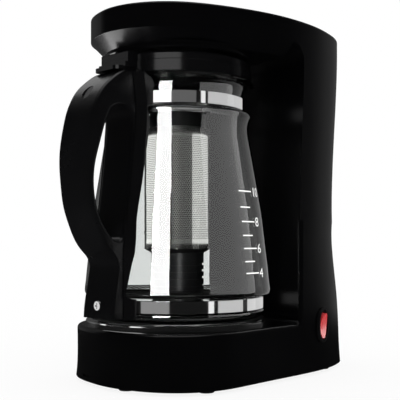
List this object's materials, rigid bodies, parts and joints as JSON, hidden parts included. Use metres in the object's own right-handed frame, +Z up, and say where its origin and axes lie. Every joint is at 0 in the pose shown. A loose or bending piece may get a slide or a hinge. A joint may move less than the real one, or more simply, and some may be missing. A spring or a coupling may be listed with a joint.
{
  "type": "tea maker",
  "caption": "Countertop tea maker: black C-shaped brewing station with a rocker switch, warming plate and a glass carafe with handle, lid and hanging perforated tea filter.",
  "frame": {"origin": "bottom centre of the whole object's bounding box, on the floor", "axes": "+Z up, the front (carafe and handle side) looks along -Y, the switch is on the +X side"},
  "size_m": [0.165, 0.2906, 0.2984],
  "materials": {
    "shell_black": "high gloss moulded ABS",
    "lid_black": "gloss moulded polypropylene",
    "handle_black": "semi-gloss moulded polypropylene",
    "inner_plastic": "moulded, fine grain",
    "rubber": "moulded, matt",
    "steel": "plain zinc-plated steel",
    "plate_dark": "non-stick enamelled steel",
    "ring_chrome": "pressed bright steel",
    "band_chrome": "polished stainless strip",
    "heater_metal": "as extruded, brazed",
    "tank_plastic": "natural polypropylene",
    "silicone": "translucent silicone tube",
    "brass": "machined",
    "wire_pvc": "extruded insulation",
    "switch_black": "fine spark-eroded grain",
    "rocker_red": "translucent moulded polycarbonate",
    "clear_glass": "blown borosilicate glass",
    "mesh_steel": "perforated stainless sheet",
    "filter_black": "moulded nylon"
  },
  "bodies": {
    "machine": {"lower_body": "shell_black", "upper_body": "shell_black", "head_underside": "shell_black", "base_plate": "inner_plastic", "feet": "rubber", "base_screws": "steel", "warming_plate": "plate_dark", "plate_ring": "ring_chrome", "heater": "heater_metal", "thermostat": "steel", "thermal_fuse": "steel", "water_tank": "tank_plastic", "check_valve": "brass", "cold_hose": "silicone", "riser_tube": "silicone", "hose_clamps": "steel", "shower_head": "inner_plastic", "switch_bezel": "switch_black", "switch_box": "inner_plastic", "cord_inlet": "rubber", "wires": "wire_pvc", "hinge_pin": "steel"},
    "tank_cover": {"tank_lid": "shell_black"},
    "switch": {"rocker": "rocker_red"},
    "carafe": {"carafe_glass": "clear_glass", "neck_band": "band_chrome", "foot_band": "band_chrome", "handle": "handle_black", "handle_screw": "band_chrome"},
    "carafe_lid": {"lid_collar": "lid_black", "lid_cap": "lid_black"},
    "tea_filter": {"filter_holder": "filter_black", "mesh_filter": "mesh_steel", "filter_base": "filter_black"}
  },
  "joints": [
    {"name": "tank_lid_hinge", "type": "hinge", "parent": "machine", "child": "tank_cover", "pos_m": [0, 0.12326, 0.2946], "axis": [-1, 0, 0], "range_deg": [0, 95]},
    {"name": "rocker_tilt", "type": "hinge", "parent": "machine", "child": "switch", "pos_m": [0.05047, 0.08002, 0.0415], "axis": [0.3584, -0.9336, 0], "range_deg": [0, 11]},
    {"name": "carafe_pull_out", "type": "slide", "parent": "machine", "child": "carafe", "axis": [0, -1, 0], "range_m": [0, 0.26]},
    {"name": "lid_turn", "type": "hinge", "parent": "carafe", "child": "carafe_lid", "pos_m": [0, -0.03374, 0.25], "axis": [0, 0, 1], "range_deg": [0, 40]},
    {"name": "filter_turn", "type": "hinge", "parent": "carafe_lid", "child": "tea_filter", "pos_m": [0, -0.03374, 0.245], "axis": [0, 0, 1], "range_deg": [0, 35]}
  ]
}
